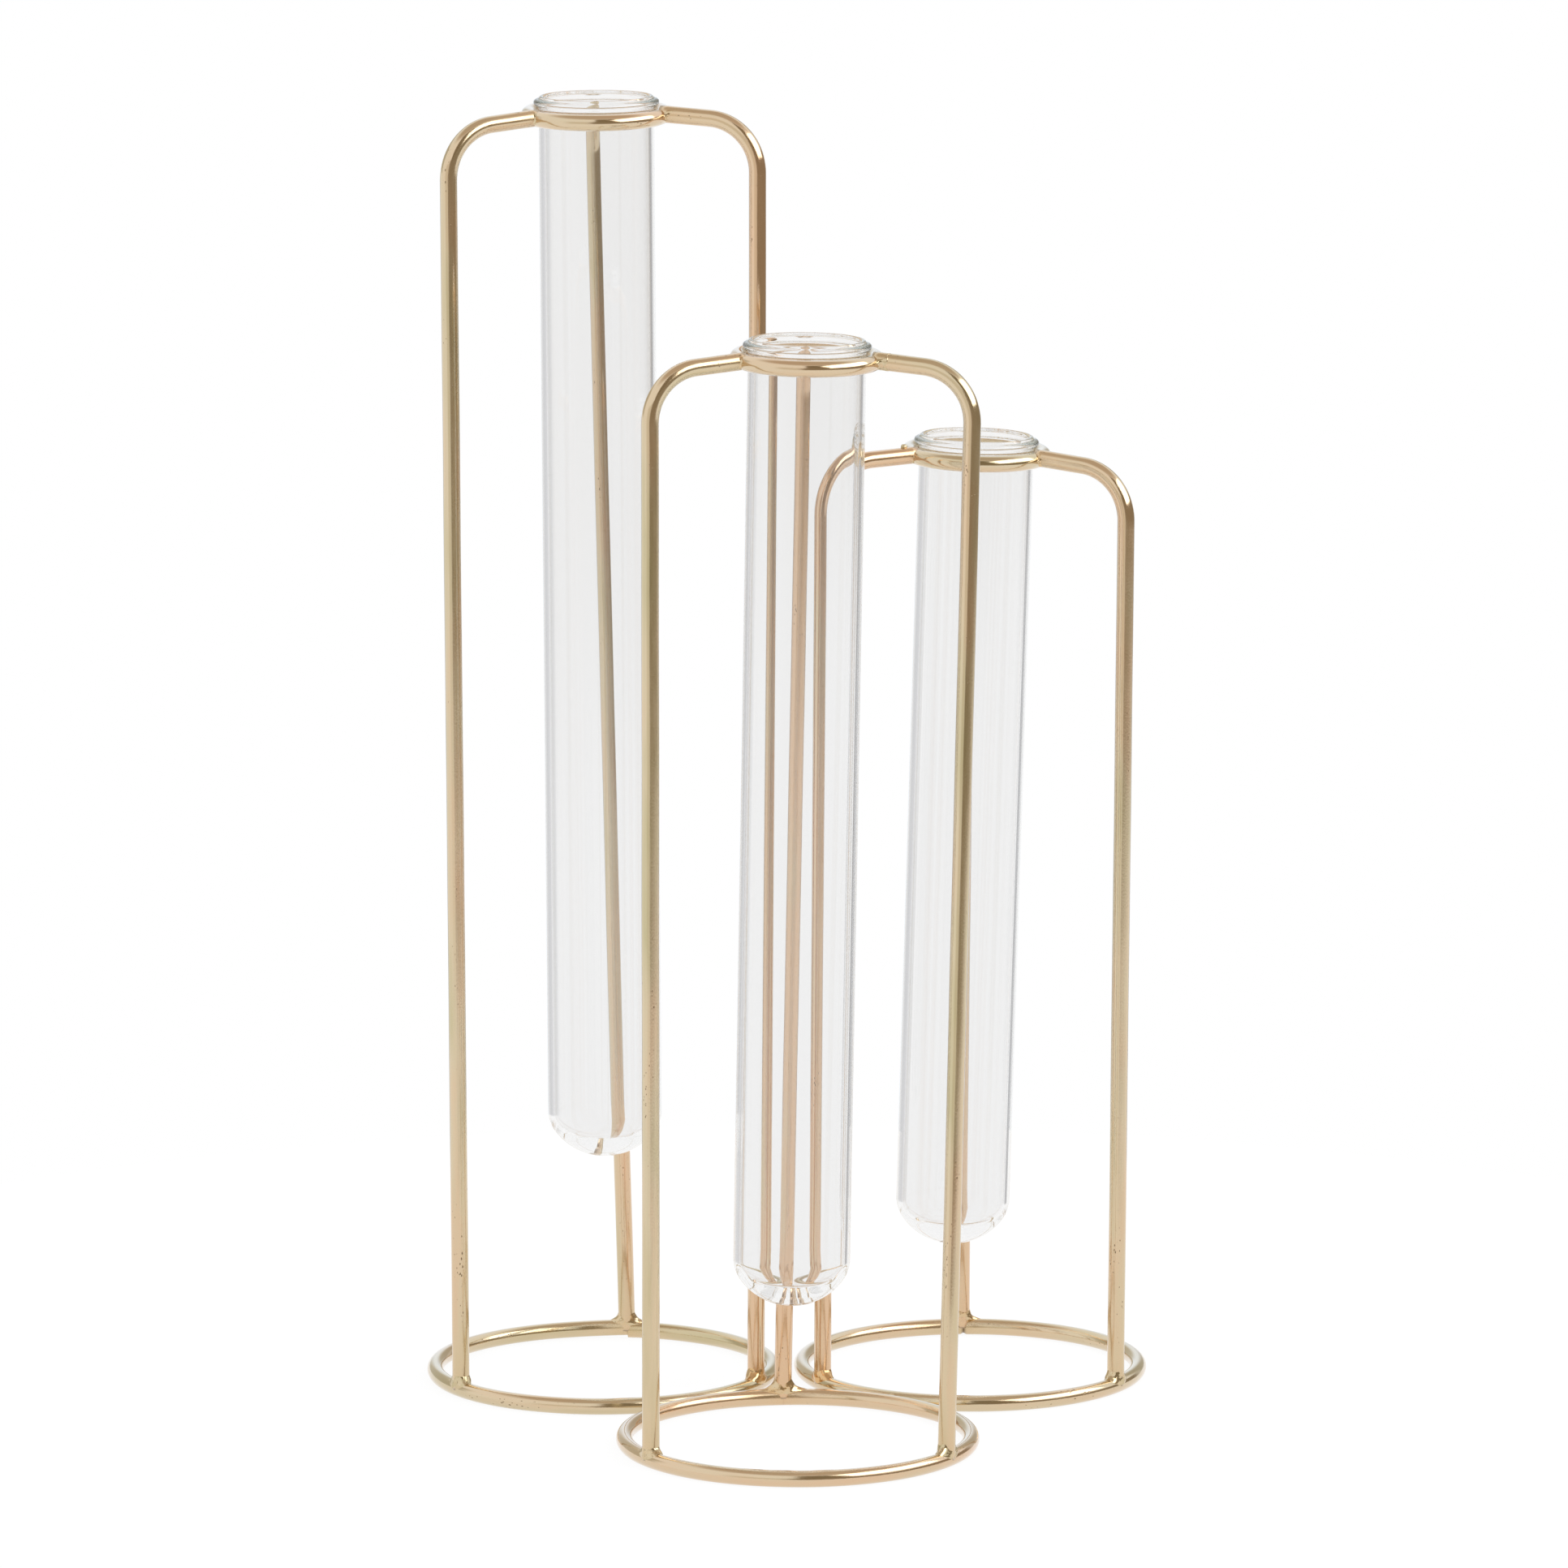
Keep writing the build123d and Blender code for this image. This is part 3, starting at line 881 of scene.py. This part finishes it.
def add_floor():
    """A round floor, white to the eye, that keeps a faint shadow under the rings."""
    mesh = bpy.data.meshes.new("floor")
    turns = [2 * math.pi * k / FLOOR_SIDES for k in range(FLOOR_SIDES)]
    corners = [(FLOOR_R * math.cos(turn), FLOOR_R * math.sin(turn), 0) for turn in turns]
    mesh.from_pydata(corners, [], [tuple(range(FLOOR_SIDES))])
    material, tree, _ = new_material("floor")
    lit = add_node(tree, "ShaderNodeBsdfDiffuse", {"Color": FLOOR_SHADOW})
    in_metal = add_node(tree, "ShaderNodeLightPath").outputs["Is Glossy Ray"]
    color = mix_color(tree, in_metal, WHITE, FLOOR_IN_METAL)
    glow = add_node(tree, "ShaderNodeEmission", {"Color": color, "Strength": FLOOR_GLOW})
    total = add_node(tree, "ShaderNodeAddShader", {0: lit.outputs[0], 1: glow.outputs[0]})
    plug(tree, tree.nodes["Material Output"].inputs["Surface"], total.outputs[0])
    mesh.materials.append(material)
    floor = bpy.data.objects.new("floor", mesh)
    floor.visible_transmission = False
    bpy.context.scene.collection.objects.link(floor)


def add_lamp(name, place, size, glow):
    """A soft rectangular lamp, aimed at the object, whose face has the given brightness."""
    data = bpy.data.lights.new(name, "AREA")
    data.shape = "RECTANGLE"
    data.size, data.size_y = size
    data.energy = glow * math.pi * data.size * data.size_y
    lamp = bpy.data.objects.new(name, data)
    lamp.location = place
    aim = Vector(LAMP_AIM) - Vector(place)
    lamp.rotation_euler = aim.to_track_quat("-Z", "Y").to_euler()
    lamp.visible_camera = False
    lamp.visible_transmission = False
    bpy.context.scene.collection.objects.link(lamp)


def set_light_paths():
    """Enough bounces for light that runs round the lips and up and down inside the glass walls."""
    cycles = bpy.context.scene.cycles
    cycles.max_bounces = LIGHT_BOUNCES
    cycles.glossy_bounces = LIGHT_BOUNCES
    cycles.transmission_bounces = LIGHT_BOUNCES


def build():
    wire, weld, glass = wire_gold(), weld_gold(), clear_glass()
    for number, stand in enumerate(STANDS):
        seed = SEEDS_PER_STAND * number
        ring_points = loop_line(RINGS[stand], SEAM_TURNS[stand], SEAM_STEPS[stand], SEAM_GAPS[stand])
        ring_look = (seed, RING_TINTS[stand], SEAM_GROOVES[stand])
        wire_piece(f"{stand}_ring_wire", ring_points, wire, f"{stand}_base_ring", *ring_look)
        collar_points = loop_line(COLLARS[stand], ARM_TURNS[stand][SIDES.index("back")])
        collar_look = (seed + COLLAR_SEED, COLLAR_TINTS[stand])
        wire_piece(f"{stand}_collar_wire", collar_points, wire, f"{stand}_collar", *collar_look)
        for index, side in enumerate(SIDES):
            leg_name, leg_points = f"{stand}_{side}_leg", leg_line(stand, side)
            leg_look = (seed + FIRST_LEG_SEED + index, LEG_TINTS[stand][index])
            wire_piece(f"{leg_name}_wire", leg_points, wire, leg_name, *leg_look, swell=LEG_SWELL)
        foot_welds(stand, weld)
        collar_welds(stand, weld)
        tube_piece(stand, glass)
    for back in ("tall", "short"):
        ring_braze(back, weld)


build()
add_camera()
add_world()
add_floor()
add_lamp("softbox", SOFTBOX_PLACE, SOFTBOX_SIZE, SOFTBOX_GLOW)
set_light_paths()
bpy.context.scene.view_settings.view_transform = "Standard"
